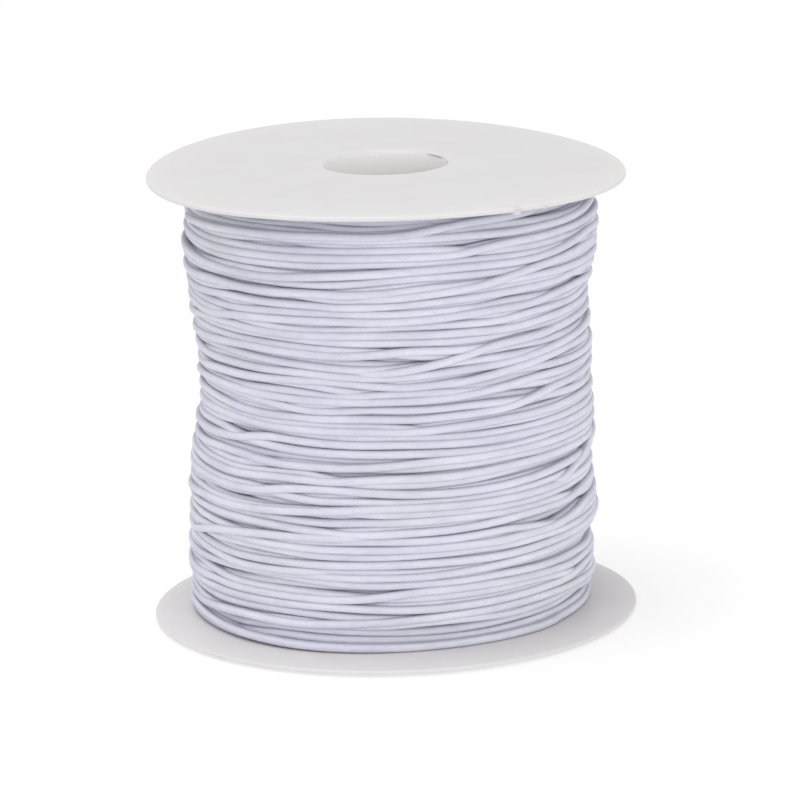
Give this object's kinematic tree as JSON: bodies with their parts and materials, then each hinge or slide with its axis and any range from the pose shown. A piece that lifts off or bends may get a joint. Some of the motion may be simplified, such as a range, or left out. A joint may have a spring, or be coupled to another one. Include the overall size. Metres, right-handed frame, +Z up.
{
  "type": "roll of shirring elastic",
  "caption": "Thin round white elastic cord wound in uneven level layers on a white moulded spool with flat round flanges and a bore through its middle.",
  "frame": {"origin": "middle of the underside of the lower flange, on the spool's axis", "axes": "+Z up along the spool's axis, -Y towards the viewer, +X to the viewer's right"},
  "size_m": [0.0488, 0.0488, 0.046],
  "materials": {
    "spool_plastic": "plain white moulded plastic with a soft satin surface, slightly translucent at its rims",
    "elastic_cord": "white covered elastic with a faint lavender cast and a fine matt braid"
  },
  "bodies": {
    "root": {"flange_bottom": "spool_plastic", "hub": "spool_plastic", "winding": "elastic_cord", "flange_top": "spool_plastic"}
  },
  "joints": []
}
